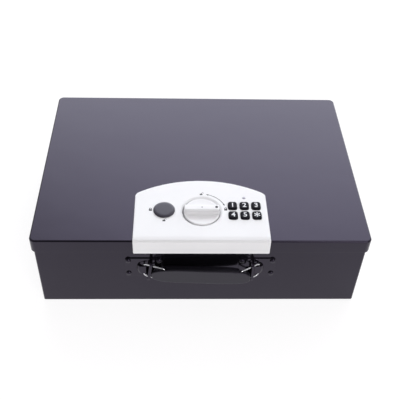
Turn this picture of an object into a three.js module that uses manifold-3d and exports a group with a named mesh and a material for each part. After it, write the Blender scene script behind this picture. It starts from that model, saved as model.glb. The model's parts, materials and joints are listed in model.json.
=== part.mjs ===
// Portable security box: a steel tray with a shoebox lid, a keypad panel that wraps over the lid's
// front edge, a turn knob that draws the locking bolts, a key override under a round plug,
// and a carrying handle on wire rings. Millimetres, +Z up, +X to the right, the front faces -Y.
import * as THREE from "three";
import { mergeVertices } from "three/addons/utils/BufferGeometryUtils.js";
import Module from "manifold-3d";

const wasm = await Module();
wasm.setup();

// ---------------------------------------------------------------- driving dimensions
const W = 380, D = 269, H = 106;          // lid outside: width, depth, height of its top over the floor
const RIM = 18;                           // height of the lid's rim
const T = 1.2;                            // steel sheet of lid and body
const LID_R = 6.8, BODY_R = 2.4, BEND = 2.0;   // upright corners of lid and body, outside bend radius of the lid
const SIDE_GAP = 2.0, RIM_GAP = 1.1;      // clearance between rim and body: at the sides, at front and back
const GAP = 0.3;                          // clearance between pieces that rest on each other
const BODY_W = W - 2 * (T + SIDE_GAP), BODY_D = D - 2 * (T + RIM_GAP);
const BODY_TOP = H - T - GAP;
const Z_RIM = H - RIM;                    // foot of the lid's rim
const FRONT = -BODY_D / 2;                // outside face of the body's front wall

const HINGE_Y = D / 2 + GAP + 2.6, HINGE_Z = Z_RIM - 2;   // lid hinge axis
const KNUCKLE_R = 2.6, PIN_R = 1.3, BORE_R = 1.42;
const HINGE_X = 115, HINGE_LEN = 50;

const PANEL_W = 152.5, PANEL_TOP = H + 3.5;
const PANEL_FRONT = -D / 2 - 2.4;
const KNOB_X = 0.7, KNOB_Y = -90.5, KNOB_R = 20.7, KNOB_TOP = H + 10;
const RECESS_R = 24.1, WELL_R = 21.8;     // top and foot of the sloping edge round the knob
const LOCK_X = -42.2, LOCK_Y = -89.4, PLUG_R = 12.4;
const KEY_X = [36.4, 50.0, 63.6], KEY_Y = [-82.4, -97.8], KEY_W = 10.0, KEY_D = 11.5, KEY_TOP = H + 5.8;
const LED_X = 50.5, LED_Y = -68.7;

const COVER = { x0: -82, x1: 82, y0: -120.5, y1: -41, z0: 76.5, z1: H - T - GAP, t: 1.0 };
const BOLT_Z0 = 84.4, BOLT_Z1 = 87.1, BOLT_TRAVEL = 7.07, CRANK = 5.0;
const STRIKE_EDGE = -121.6;

const PLATE_Z = 60.85, CUP_Z = 61.4, RIVET_Z = 62.1, RIVET_DX = 17.4, RIVET_DZ = 10.7;
// each bracket: x of its middle and of its cup, and the keeper strap's sides, height, middle and depth
const BRACKETS = {
  "-1": { x: 65.2, cup: 62.0, strap: [56.65, 59.95], lean: -0.134, half: 13.9, z: 60.8, depth: 9.2 },
  "1": { x: 64.2, cup: 61.0, strap: [57.7, 60.3], lean: 0, half: 13.35, z: 61.4, depth: 10.7 },
};
const WIRE_R = 1.0, RING_L = 26.0, RING_OUT_D = 2.4;
// x, d and z of each ring's inner bar, which sits in the grip's end
const RINGS = { L: { s: -1, xIn: 40.9, dIn: 11.2, z: 59.3, h: 9.95 }, R: { s: 1, xIn: 44.7, dIn: 15.5, z: 60.3, h: 9.9 } };
const GRIP_D = 6.4, GRIP_AT = 12.95;       // the grip's thickness and the distance of its middle from the wall
const GRIP_SWELL = 2.9;                     // how far the swell for the fingers stands out at the grip's back
const GRIP_TURN = 2.876, GRIP_DROP = -0.9;   // degrees: the slack grip hangs further out and a little higher on its right

// bounding box in Y: grip front to hinge knuckle back; the group is moved so that the box is centred
const Y_BACK = HINGE_Y + KNUCKLE_R;
const Y_FRONT = FRONT - 18.882;
const Y_SHIFT = -(Y_BACK + Y_FRONT) / 2;

// ---------------------------------------------------------------- helpers
const V2 = (x, y) => new THREE.Vector2(x, y);
const V3 = (x, y, z) => new THREE.Vector3(x, y, z);
const RAD = Math.PI / 180;

function solid(geometry) {
  const g = geometry.clone();
  for (const k of Object.keys(g.attributes)) if (k !== "position") g.deleteAttribute(k);
  const m = mergeVertices(g, 1e-4);
  return new wasm.Manifold(new wasm.Mesh({
    numProp: 3,
    vertProperties: new Float32Array(m.attributes.position.array),
    triVerts: new Uint32Array(m.index.array),
  }));
}
function toGeometry(man) {
  const m = man.getMesh();
  const g = new THREE.BufferGeometry();
  g.setAttribute("position", new THREE.BufferAttribute(new Float32Array(m.vertProperties), 3));
  g.setIndex(new THREE.BufferAttribute(new Uint32Array(m.triVerts), 1));
  const flat = g.toNonIndexed();
  flat.computeVertexNormals();
  return flat;
}
const union = (...s) => s.reduce((a, b) => a.add(b));
const cut = (a, ...s) => s.reduce((p, b) => p.subtract(b), a);

// a box between two corners
function box(x0, x1, y0, y1, z0, z1) {
  const g = new THREE.BoxGeometry(x1 - x0, y1 - y0, z1 - z0);
  g.translate((x0 + x1) / 2, (y0 + y1) / 2, (z0 + z1) / 2);
  return solid(g);
}
// an upright cylinder
function rod(x, y, r, z0, z1, n = 24) {
  const g = new THREE.CylinderGeometry(r, r, z1 - z0, n);
  g.rotateX(Math.PI / 2);
  g.translate(x, y, (z0 + z1) / 2);
  return solid(g);
}
// a cylinder along X
function rodX(y, z, r, x0, x1, n = 20) {
  const g = new THREE.CylinderGeometry(r, r, x1 - x0, n);
  g.rotateZ(-Math.PI / 2);
  g.translate((x0 + x1) / 2, y, z);
  return solid(g);
}
// a cylinder along Y
function rodY(x, z, r, y0, y1, n = 16) {
  const g = new THREE.CylinderGeometry(r, r, y1 - y0, n);
  g.translate(x, (y0 + y1) / 2, z);
  return solid(g);
}
// a turned piece about an upright axis: pts are [radius, z] from the foot of the axis to its top
function turned(pts, n = 32) {
  const g = new THREE.LatheGeometry(pts.map(([r, z]) => V2(r, z)), n);
  g.rotateX(Math.PI / 2);
  return g;
}
// outline of a rounded rectangle, counterclockwise
function rounded(w, d, r, n = 5, cx = 0, cy = 0) {
  const p = [];
  for (const [sx, sy, a0] of [[1, 1, 0], [-1, 1, 90], [-1, -1, 180], [1, -1, 270]])
    for (let i = 0; i <= n; i++) {
      const a = (a0 + 90 * i / n) * RAD;
      p.push(V2(cx + sx * (w / 2 - r) + r * Math.cos(a), cy + sy * (d / 2 - r) + r * Math.sin(a)));
    }
  return p;
}
const circle = (r, n = 48, cx = 0, cy = 0) => Array.from({ length: n }, (_, i) => V2(cx + r * Math.cos(2 * Math.PI * i / n), cy + r * Math.sin(2 * Math.PI * i / n)));
// a slab over an outline, from z0 to z1, with both rims rounded by b (0 for square rims)
function slab(pts, z0, z1, b = 0, segs = 3) {
  const g = new THREE.ExtrudeGeometry(new THREE.Shape(pts), b > 0
    ? { depth: z1 - z0 - 2 * b, bevelEnabled: true, bevelThickness: b, bevelSize: b, bevelOffset: -b, bevelSegments: segs, steps: 1, curveSegments: 1 }
    : { depth: z1 - z0, bevelEnabled: false, steps: 1, curveSegments: 1 });
  g.translate(0, 0, z0 + b);
  return solid(g);
}
// the same with the outline in the X-Z plane and the thickness from depth d0 to d1 in front of the body's front wall
function slabFront(pts, d0, d1, b = 0, segs = 3) {
  const g = new THREE.ExtrudeGeometry(new THREE.Shape(pts), b > 0
    ? { depth: d1 - d0 - 2 * b, bevelEnabled: true, bevelThickness: b, bevelSize: b, bevelOffset: -b, bevelSegments: segs, steps: 1, curveSegments: 1 }
    : { depth: d1 - d0, bevelEnabled: false, steps: 1, curveSegments: 1 });
  g.rotateX(Math.PI / 2);
  g.translate(0, FRONT - d0 - b, 0);
  return solid(g);
}
// a profile in the Y-Z plane, extruded along X from x0 to x1
function extrudeX(pts, x0, x1, b = 0, segs = 2) {
  const g = new THREE.ExtrudeGeometry(new THREE.Shape(pts), b > 0
    ? { depth: x1 - x0 - 2 * b, bevelEnabled: true, bevelThickness: b, bevelSize: b, bevelOffset: -b, bevelSegments: segs, steps: 1, curveSegments: 1 }
    : { depth: x1 - x0, bevelEnabled: false, steps: 1, curveSegments: 1 });
  g.rotateX(Math.PI / 2);
  g.rotateZ(Math.PI / 2);
  g.translate(x0 + b, 0, 0);
  return solid(g);
}

// outline of the pressed middle of a handle bracket: an elliptical outer end, straight towards the grip
function capsule(s, inset, half, x0) {
  const pts = [], a = 11.2 - inset, b = half - inset, xe = x0 + BRACKETS[s].cup - 61;
  for (let i = 0; i <= 12; i++) {
    const t = (-90 + 15 * i) * RAD;
    pts.push(V2(BRACKETS[s].cup + a * Math.cos(t), CUP_Z + b * Math.sin(t)));
  }
  pts.push(V2(xe, CUP_Z + b), V2(xe, CUP_Z - b));
  return s > 0 ? pts : pts.map((p) => V2(-p.x, p.y)).reverse();
}

// ---------------------------------------------------------------- materials
const mat = (color, roughness, metalness = 0) => new THREE.MeshStandardMaterial({ color, roughness, metalness });
const M = {
  black: () => mat(0x1b1a1f, 0.35),
  silver: () => mat(0xe9ebf0, 0.4),
  rubber: () => mat(0x17171a, 0.7),
  dark: () => mat(0x4c4b54, 0.55),
  chrome: () => mat(0xd8dadd, 0.12, 1),
  steel: () => mat(0x9a9c9f, 0.4, 1),
  zinc: () => mat(0xb9bcc0, 0.45, 1),
  brass: () => mat(0xb08d45, 0.35, 1),
  plastic: () => mat(0x202024, 0.5),
  board: () => mat(0x1f5a3a, 0.5),
  copper: () => mat(0xa5622f, 0.4, 1),
  cell: () => mat(0x3c4a57, 0.35, 0.3),
  lens: () => mat(0xd9dde6, 0.15),
};

const safe = new THREE.Group();
safe.position.set(0, Y_SHIFT, 0);
function add(name, geometryOrSolid, material, parent = safe) {
  const geometry = geometryOrSolid.isBufferGeometry ? geometryOrSolid : toGeometry(geometryOrSolid);
  const mesh = new THREE.Mesh(geometry, material);
  mesh.name = name;
  parent.add(mesh);
  return mesh;
}

// ---------------------------------------------------------------- body
{
  const r = BODY_R;
  // the walls are one band of sheet, and the bottom plate is welded in flush with their foot
  const outside = slab(rounded(BODY_W, BODY_D, r), 0, BODY_TOP + 10, 0.4, 2);
  const inside = slab(rounded(BODY_W - 2 * T, BODY_D - 2 * T, r - T), -5, BODY_TOP + 12);
  let shell = cut(outside, inside, box(-W, W, -D, D, BODY_TOP, BODY_TOP + 20));
  for (const s of [-1, 1]) for (const dx of [-RIVET_DX, RIVET_DX]) for (const dz of [-RIVET_DZ, RIVET_DZ])
    shell = shell.subtract(rodY(s * BRACKETS[s].x + dx, RIVET_Z + dz, 2.0, FRONT - 2, FRONT + T + 2, 12));
  for (const s of [-1, 1]) shell = shell.subtract(slabFront(capsule(s, -0.15, 13.1, 50.4), -T - 2, 2));
  add("body_shell", shell, M.black());
  add("body_floor", slab(rounded(BODY_W - 2 * T - 2 * GAP, BODY_D - 2 * T - 2 * GAP, r - T - GAP), 0, T), M.black());

  // strike: an angle inside the front wall; the bolts slide under its lip
  const y0 = FRONT + T + GAP;
  add("strike_bracket", union(
    box(-62, 62, y0, y0 + 1.5, 76.4, BOLT_Z1 + GAP + 1.5),
    box(-62, 62, y0, STRIKE_EDGE, BOLT_Z1 + GAP, BOLT_Z1 + GAP + 1.5)), M.steel());
}

// ---------------------------------------------------------------- hinges
for (const [tag, s] of [["left", -1], ["right", 1]]) {
  const x0 = s * HINGE_X - HINGE_LEN / 2;
  const parts = [[0, 16.4], [16.8, 33.2], [33.6, 50]].map(([a, b]) => [x0 + a, x0 + b]);
  const back = BODY_D / 2 + GAP;
  let leaf = box(x0, x0 + HINGE_LEN, back, back + 1.2, 62, HINGE_Z - 1.2);
  for (const i of [0, 2]) leaf = union(leaf,
    box(parts[i][0], parts[i][1], back, HINGE_Y, HINGE_Z - 2.7, HINGE_Z - 1.4),
    rodX(HINGE_Y, HINGE_Z, KNUCKLE_R, parts[i][0], parts[i][1]));
  leaf = leaf.subtract(rodX(HINGE_Y, HINGE_Z, BORE_R, x0 - 1, x0 + HINGE_LEN + 1));
  add(`hinge_${tag}_body_leaf`, leaf, M.black());

  const [a, b] = parts[1];
  let lidLeaf = union(
    box(x0, x0 + HINGE_LEN, D / 2 + GAP, D / 2 + GAP + 1.2, Z_RIM + 1.4, H - 2.5),
    box(a, b, D / 2 + GAP, D / 2 + GAP + 1.2, HINGE_Z, Z_RIM + 2),
    rodX(HINGE_Y, HINGE_Z, KNUCKLE_R, a, b));
  lidLeaf = lidLeaf.subtract(rodX(HINGE_Y, HINGE_Z, BORE_R, x0 - 1, x0 + HINGE_LEN + 1));
  add(`hinge_${tag}_lid_leaf`, lidLeaf, M.black());

  const pin = union(
    rodX(HINGE_Y, HINGE_Z, PIN_R, x0 - 0.6, x0 + HINGE_LEN + 0.6, 16),
    rodX(HINGE_Y, HINGE_Z, 2.0, x0 - 1.2, x0 - 0.3, 16),
    rodX(HINGE_Y, HINGE_Z, 2.0, x0 + HINGE_LEN + 0.3, x0 + HINGE_LEN + 1.2, 16));
  add(`hinge_${tag}_pin`, pin, M.zinc());
}

// ---------------------------------------------------------------- lid
{
  const outside = slab(rounded(W, D, LID_R), Z_RIM - 10, H, BEND);
  const inside = slab(rounded(W - 2 * T, D - 2 * T, LID_R - T), Z_RIM - 12, H - T, BEND - T, 2);
  const shell = cut(outside, inside, box(-W, W, -D, D, Z_RIM - 20, Z_RIM),
    rod(KNOB_X, KNOB_Y, 25.6, H - 5, H + 5, 40),
    rod(LOCK_X, LOCK_Y, 9.2, H - 5, H + 5),
    rod(-66, -75, 2.6, H - 5, H + 5, 12), rod(-66, -112, 2.6, H - 5, H + 5, 12), rod(74.5 - 8.5, -114.5, 2.6, H - 5, H + 5, 12),
    slab(rounded(48, 42, 2, 2, 49.4, -86.9), H - 5, H + 5));
  add("lid_shell", shell, M.black());
}

// ---------------------------------------------------------------- control panel
{
  const hw = PANEL_W / 2, peak = -39, side = -61.5;
  const sag = peak - side, R = (hw * hw + sag * sag) / (2 * sag), cy = peak - R;
  const plan = [V2(-hw, -129), V2(hw, -129), V2(hw, -65.5)];
  const xa = hw - 4.2, ya = cy + Math.sqrt(R * R - xa * xa);
  for (let i = 1; i <= 4; i++) {            // rounded back corners
    const t = i / 4, u = 1 - t;
    plan.push(V2(u * u * hw + 2 * u * t * hw + t * t * xa, u * u * -65.5 + 2 * u * t * -62.2 + t * t * ya));
  }
  const n = 18;
  for (let i = 1; i < n; i++) {
    const x = xa - 2 * xa * i / n;
    plan.push(V2(x, cy + Math.sqrt(R * R - x * x)));
  }
  for (let i = 4; i >= 1; i--) {
    const t = i / 4, u = 1 - t;
    plan.push(V2(-(u * u * hw + 2 * u * t * hw + t * t * xa), u * u * -65.5 + 2 * u * t * -62.2 + t * t * ya));
  }
  plan.push(V2(-hw, -65.5));
  const back = plan.map((p) => (p.y === -129 ? V2(p.x, -135) : p));
  let top = slab(back, H + GAP - 3, PANEL_TOP, 0.9, 2);
  top = cut(top, box(-100, 100, -150, -128, 90, 120), box(-100, 100, -150, 0, 90, H + GAP));

  // the fold over the lid's front edge, in the Y-Z plane
  const F = PANEL_FRONT, yi = -D / 2 - GAP;
  const fold = [V2(yi, Z_RIM + 0.2), V2(yi, H + GAP), V2(-118, H + GAP), V2(-118, PANEL_TOP), V2(-130.0, PANEL_TOP)];
  // two facets: a shallow one, then one of 45 degrees
  fold.push(V2(-130.6, PANEL_TOP - 0.04), V2(-134.7, PANEL_TOP - 0.47), V2(-135.05, PANEL_TOP - 0.63), V2(F + 0.3, 107.45), V2(F + 0.08, 107.15));
  fold.push(V2(F, 106.8));
  fold.push(V2(F, Z_RIM + 0.2));
  let front = extrudeX(fold, -hw, hw);
  // soft side edges: seen from the front, and at the two upright corners seen from above
  const face = [V2(-hw, 80), V2(hw, 80), V2(hw, PANEL_TOP - 0.9), V2(hw - 0.26, PANEL_TOP - 0.26), V2(hw - 0.9, PANEL_TOP), V2(-hw + 0.9, PANEL_TOP), V2(-hw + 0.26, PANEL_TOP - 0.26), V2(-hw, PANEL_TOP - 0.9)];
  front = front.intersect(slabFront(face, -20, 20));
  front = front.intersect(slab(rounded(PANEL_W, 60, 1.6, 3, 0, F + 30), 80, 115));
  front = cut(front, box(-100, 100, -126, -110, 90, 120));
  let panel = union(cut(top, box(-100, 100, -150, -126, 90, 120)), front,
    // knob cup through the lid
    rod(KNOB_X, KNOB_Y, WELL_R + 1.5, 99, H + 2, 48),
    // bosses for the panel screws
    rod(-66, -75, 2.3, 103, H + 2, 12), rod(-66, -112, 2.3, 103, H + 2, 12), rod(66, -114.5, 2.3, 103, H + 2, 12),
    // ribs that carry the keypad board
    box(26.2, 27.4, -107, -67.5, 101.9, H + 2), box(71.4, 72.6, -107, -67.5, 101.9, H + 2));
  panel = cut(panel,
    rod(KNOB_X, KNOB_Y, WELL_R, 100.5, H + 12, 48),
    solid(turned([[0, PANEL_TOP - 1.1], [WELL_R, PANEL_TOP - 1.1], [RECESS_R, PANEL_TOP], [RECESS_R + 0.4, PANEL_TOP + 0.4], [0, PANEL_TOP + 0.4]], 48)).translate([KNOB_X, KNOB_Y, 0]),
    rod(KNOB_X, KNOB_Y, 5.0, 95, 105, 20),
    rod(LOCK_X, LOCK_Y, 9.0, 95, H + 12, 28),
    rod(LED_X, LED_Y, 1.75, 95, H + 12, 12),
    rod(-66, -75, 1.1, 100, H + 1.6, 10), rod(-66, -112, 1.1, 100, H + 1.6, 10), rod(66, -114.5, 1.1, 100, H + 1.6, 10));
  for (const x of KEY_X) for (const y of KEY_Y)
    panel = panel.subtract(slab(rounded(KEY_W + 0.7, KEY_D + 0.7, 2.9, 3, x, y), 95, H + 12));
  add("control_panel", panel, M.silver());
  [[-66, -75], [-66, -112], [66, -114.5]].forEach(([x, y], i) =>
    add(`panel_screw_${i + 1}`, union(rod(x, y, 3.6, 100.5, 102.6, 14), rod(x, y, 0.95, 102, H + 1.2, 10)), M.zinc()));
}

// ---------------------------------------------------------------- knob, spindle and crank
{
  const disc = solid(turned([[0, 101], [19.9, 101], [KNOB_R, 101.8], [KNOB_R, 108.5], [20.1, 109.2], [19.2, 109.25], [17.4, 108.95], [14, 108.64], [8, 108.38], [0, 108.3]], 48));
  const z1 = KNOB_TOP;
  const side = [[7.2, 103], [7.0, 108.45], [5.8, 109.1], [5.5, 111.35], [4.5, 111.95], [4.1, z1 - 0.9], [3.5, z1]];
  const bar = extrudeX([...side.map(([y, z]) => V2(y, z)), ...side.slice().reverse().map(([y, z]) => V2(-y, z))], -22, 22);
  const ends = slab(circle(20.2, 48), 100, z1, 1.0, 2);
  const knob = union(disc, bar.intersect(ends)).subtract(rod(0, 0, 4.2, 95, 105.3));
  const g = toGeometry(knob);
  g.translate(KNOB_X, KNOB_Y, 0);
  add("knob", g, M.silver());
  add("knob_spindle", union(rod(KNOB_X, KNOB_Y, 3.9, 91.2, 105.0, 20), rod(KNOB_X, KNOB_Y, 2.8, 87.9, 92, 20)), M.zinc());
  const px = KNOB_X + CRANK * Math.SQRT1_2, py = KNOB_Y - CRANK * Math.SQRT1_2;
  add("crank_cam", cut(union(rod(KNOB_X, KNOB_Y, 9.0, 87.5, 90.5, 32), rod(px, py, 2.4, 84.6, 89, 20)),
    rod(KNOB_X, KNOB_Y, 2.95, 87.0, 95, 20)), M.zinc());
}

// ---------------------------------------------------------------- locking bolts
{
  const py = KNOB_Y - CRANK * Math.SQRT1_2;
  const yf = -118.5, yb = -107.5;           // front and back edge of the bar; the tongues reach on to the strike
  const outline = [V2(-60, yf), V2(-50, yf), V2(-50, -128.2), V2(-38, -128.2), V2(-38, yf), V2(38, yf), V2(38, -128.2), V2(50, -128.2), V2(50, yf), V2(60, yf),
    V2(60, yb), V2(22, yb), V2(22, -101.6), V2(18, -94.4), V2(18, -88.6), V2(22, -88.6), V2(22, -84.2), V2(-8, -84.2), V2(-8, yb), V2(-60, yb)];
  const plate = slab(outline, BOLT_Z0, BOLT_Z1).subtract(slab(rounded(7.4, 5.7, 0.8, 2, KNOB_X + 4.25, py), 80, 90));
  add("bolt_bar", plate, M.zinc());
}

// ---------------------------------------------------------------- solenoid
{
  const y = -91.5, z = 85.75;
  const frame = cut(box(26, 48, -99.5, -83.5, 78.6, 93),
    box(27.4, 46.6, -98.6, -82, 80, 94), rodX(y, z, 2.9, 20, 60));
  add("solenoid_frame", frame, M.zinc());
  add("solenoid_coil", cut(rodX(y, z, 5.4, 27.8, 46.2, 20), rodX(y, z, 2.9, 20, 60)), M.copper());
  add("solenoid_plunger", rodX(y, z, 2.4, 18.4, 41, 16), M.steel());
}

// ---------------------------------------------------------------- override lock under the plug
{
  add("lock_barrel", cut(rod(LOCK_X, LOCK_Y, 8.5, 86, 107.0, 28), rod(LOCK_X, LOCK_Y, 6.2, 80, 110, 24)), M.steel());
  const rotor = union(rod(LOCK_X, LOCK_Y, 6.0, 85.2, 106.6, 24), slab(rounded(24, 9, 3, 3, LOCK_X - 7.5, LOCK_Y), 81.6, 84.0), rod(LOCK_X, LOCK_Y, 3.5, 83, 86, 16))
    .subtract(box(LOCK_X - 3.6, LOCK_X + 3.6, LOCK_Y - 0.7, LOCK_Y + 0.7, 92, 110));
  add("lock_rotor", rotor, M.brass());
  const cap = turned([[0, 107.3], [8.55, 107.3], [8.55, 109.8], [PLUG_R, 109.8], [PLUG_R, 110.4], [12.0, 110.9], [10.2, 111.35], [7.0, 111.65], [3.5, 111.8], [0, 111.85]], 40);
  cap.translate(LOCK_X, LOCK_Y, 0);
  add("override_plug", toGeometry(solid(cap)), M.dark());
}

// ---------------------------------------------------------------- keypad
{
  const names = [["key_1", "key_2", "key_3"], ["key_4", "key_5", "key_star"]];
  KEY_Y.forEach((y, j) => KEY_X.forEach((x, i) => {
    const cap = slab(rounded(KEY_W, KEY_D, 2.6, 3, x, y), 103.4, KEY_TOP, 0.8, 2);
    add(names[j][i], cap, M.rubber());
  }));
  add("keypad_board", box(26.2, 72.8, -107, -66.8, 100.0, 101.6), M.board());
  const led = turned([[0, 101.9], [2.4, 101.9], [2.4, 103.2], [1.5, 103.2], [1.5, PANEL_TOP], [1.15, PANEL_TOP + 0.5], [0, PANEL_TOP + 0.7]], 16);
  led.translate(LED_X, LED_Y, 0);
  add("led_lens", toGeometry(solid(led)), M.lens());
}

// ---------------------------------------------------------------- cover over the mechanism, under the lid
const BAT = { x0: -76.6, x1: 27.4, y0: -75.5, y1: -46.1 };
{
  const c = COVER;
  let cover = box(c.x0, c.x1, c.y0, c.y1, c.z0, c.z1);
  cover = cover.subtract(box(c.x0 + c.t, c.x1 - c.t, c.y0 + c.t, c.y1 - c.t, c.z0 + c.t, c.z1 + 5));
  cover = union(cover,
    box(c.x0 - 11, c.x0 + 0.5, c.y0, c.y1, c.z1 - 1, c.z1), box(c.x1 - 0.5, c.x1 + 11, c.y0, c.y1, c.z1 - 1, c.z1),
    // rails of the battery door
    box(-82, -80.6, -79, -42, 72.6, c.z0 + 0.5), box(-81, -78.6, -79, -42, 72.6, 73.6),
    box(31.6, 33, -79, -42, 72.6, c.z0 + 0.5), box(29.6, 32, -79, -42, 72.6, 73.6));
  cover = cut(cover,
    box(-51, -37, c.y0 - 1, c.y0 + 2, BOLT_Z0 - 0.6, BOLT_Z1 + 0.6), box(37, 51, c.y0 - 1, c.y0 + 2, BOLT_Z0 - 0.6, BOLT_Z1 + 0.6),
    box(BAT.x0, BAT.x1, BAT.y0, BAT.y1, 70, 78));
  for (const x of [-87.5, 87.5]) for (const y of [-108, -54]) cover = cover.subtract(rod(x, y, 2.2, 100, 110, 14));
  add("mechanism_cover", cover, M.black());
  let i = 0;
  for (const x of [-87.5, 87.5]) for (const y of [-108, -54]) {
    const s = turned([[0, 100.9], [2.4, 100.9], [3.6, 101.6], [3.7, 103.2], [1.9, 103.2], [1.9, c.z1], [0, c.z1]], 16);
    s.translate(x, y, 0);
    add(`cover_screw_${++i}`, toGeometry(solid(s)), M.zinc());
  }
  // battery holder, open below
  add("battery_holder", cut(box(BAT.x0 - 1.2, BAT.x1 + 1.2, BAT.y0 - 1.2, BAT.y1 + 1.2, 77.8, 96),
    box(BAT.x0, BAT.x1, BAT.y0, BAT.y1, 70, 94.8)), M.plastic());
  let door = slab(rounded(111.2, 35.5, 2, 2, -24.5, -60.8), 73.9, 76.2);
  for (const y of [-70, -66, -62, -58]) door = union(door, box(-40, -9, y, y + 1.6, 72.9, 74.5));
  add("battery_door", door, M.plastic());
  let k = 0;
  for (const y of [-68.05, -53.55]) for (const [x0, flip] of [[-75.6, 1], [-24.4, -1]]) {
    const cell = rodX(y, 86.6, 7.1, x0 + 0.3, x0 + 49.3, 18);
    const tip = flip > 0 ? rodX(y, 86.6, 2.7, x0 + 49, x0 + 50.5, 12) : rodX(y, 86.6, 2.7, x0 + 49, x0 + 50.5, 12);
    add(`cell_${++k}`, union(cell, tip), M.cell());
  }
}

// ---------------------------------------------------------------- handle brackets and rivets
function bracketSolid(s) {
  const x = (v) => s * v;
  const b = BRACKETS[s], lo = Math.min(x(b.x - 20.8), x(b.x + 20.8)), hi = Math.max(x(b.x - 20.8), x(b.x + 20.8));
  const span = (a, b) => [Math.min(x(a), x(b)), Math.max(x(a), x(b))];
  const bx = (a, b, d0, d1, z0, z1) => box(...span(a, b), FRONT - d1, FRONT - d0, z0, z1);
  // the plate has a cup pressed back through the wall, so that the ring's outer bar can swing
  const window = slabFront(capsule(s, 1.15, 13.1, 51.7), -4.5, 5);
  const plate = slabFront(rounded(hi - lo, 30.5, 2.5, 2, (lo + hi) / 2, PLATE_Z), GAP, GAP + 1.0);
  const cup = slabFront(capsule(s, 0.15, 13.1, 50.7), -5.5, GAP + 0.5);
  // a domed cap over the outer bar, open above and below it
  const cap = cut(slabFront(capsule(s, 0, 13.1, 48), -4, 5.0, 4.0, 4), slabFront(capsule(s, 1.15, 13.1, 48), -4, 3.9, 3.2, 4))
    .intersect(bx(b.cup + 0.6, 80, GAP + 0.5, 20, CUP_Z - 6.8, CUP_Z + 5.2));
  // a keeper strap over the ring's two long bars, bent a little outwards at its foot on the left
  const band = [[0, 30], [1, 30], [1, 90], [0, 90]].map(([i, z]) => V2(x(b.strap[i] + b.lean * (z - b.z)), z));
  const loop = (e, r) => slabFront(rounded(40, 2 * (b.half - e), 3, 2, x(57), b.z), -5, b.depth - e, r, 5);
  const strap = cut(loop(0, 2.2), loop(1.05, 1.2)).intersect(slabFront(s > 0 ? band : band.slice().reverse(), GAP + 0.5, 20));
  let part = union(cut(union(plate, cup), window), cap, strap);
  for (const dx of [-RIVET_DX, RIVET_DX]) for (const dz of [-RIVET_DZ, RIVET_DZ])
    part = part.subtract(rodY(x(b.x) + dx, RIVET_Z + dz, 2.0, FRONT - 3, FRONT + 3, 12));
  return part;
}
for (const [tag, s] of [["left", -1], ["right", 1]]) {
  add(`handle_bracket_${tag}`, bracketSolid(s), M.black());
  let i = 0;
  for (const dz of [RIVET_DZ, -RIVET_DZ]) for (const dx of [RIVET_DX, -RIVET_DX]) {
    // dome head outside, shank through bracket and wall, set head inside
    const d1 = GAP + 1.0 + GAP, r = turned([[0, -4.0], [2.6, -4.0], [3.0, -3.2], [3.0, -T - GAP], [1.7, -T - GAP], [1.7, d1], [3.1, d1], [2.9, d1 + 0.7], [2.0, d1 + 1.4], [0, d1 + 1.7]], 14);
    r.rotateX(Math.PI / 2);
    r.translate(s * (BRACKETS[s].x + dx), FRONT, RIVET_Z + dz);
    add(`rivet_${tag}_${++i}`, toGeometry(solid(r)), M.black());
  }
}

// ---------------------------------------------------------------- handle rings and grip
function ringGeometry({ s, xIn, dIn, z, h }) {
  const ang = Math.asin((dIn - RING_OUT_D) / RING_L);
  const xo = xIn + RING_L * Math.cos(ang);
  const r = 2.6, ro = 4.5, pts = [];
  // rounded rectangle in the ring's own plane: u runs from the outer bar to the inner bar
  const at = (u, v) => V3(s * (xo - u * Math.cos(ang)), FRONT - (RING_OUT_D + u * Math.sin(ang)), z + v);
  for (const [cu, cv, a0, q, n] of [[RING_L - r, h - r, 0, r, 3], [ro, h - ro, 90, ro, 5], [ro, -h + ro, 180, ro, 5], [RING_L - r, -h + r, 270, r, 3]]) {
    for (let i = 0; i <= n; i++) {
      const a = (a0 + 90 * i / n) * RAD;
      pts.push(at(cu + q * Math.cos(a), cv + q * Math.sin(a)));
    }
  }
  const path = new THREE.CurvePath();
  pts.forEach((p, i) => path.add(new THREE.LineCurve3(p, pts[(i + 1) % pts.length])));
  // sections stand on the corners of the path, so the bars stay straight
  const n = 8, pos = [], N = pts.length;
  const axisN = V3(0, 0, 1).cross(at(1, 0).sub(at(0, 0))).normalize();
  const rings = pts.map((p, i) => {
    const d0 = p.clone().sub(pts[(i + N - 1) % N]).normalize(), d1 = pts[(i + 1) % N].clone().sub(p).normalize();
    const t = d0.add(d1).normalize(), out = t.clone().cross(axisN).normalize();
    return Array.from({ length: n }, (_, k) => {
      const a = 2 * Math.PI * (k + 0.5) / n;
      return p.clone().addScaledVector(out, WIRE_R * Math.cos(a)).addScaledVector(axisN, WIRE_R * Math.sin(a));
    });
  });
  const tri = (a, b, c) => { for (const v of [a, b, c]) pos.push(v.x, v.y, v.z); };
  rings.forEach((ra, i) => {
    const rb = rings[(i + 1) % N];
    for (let k = 0; k < n; k++) { const m = (k + 1) % n; tri(ra[k], rb[k], ra[m]); tri(ra[m], rb[k], rb[m]); }
  });
  let g = new THREE.BufferGeometry().setAttribute("position", new THREE.BufferAttribute(new Float32Array(pos), 3));
  if (solid(g).volume() < 0) {
    const q = g.attributes.position.array;
    for (let i = 0; i < q.length; i += 9) for (let k = 0; k < 3; k++) { const v = q[i + 3 + k]; q[i + 3 + k] = q[i + 6 + k]; q[i + 6 + k] = v; }
  }
  return toGeometry(solid(g));
}
add("handle_ring_left", ringGeometry(RINGS.L), M.chrome());
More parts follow.
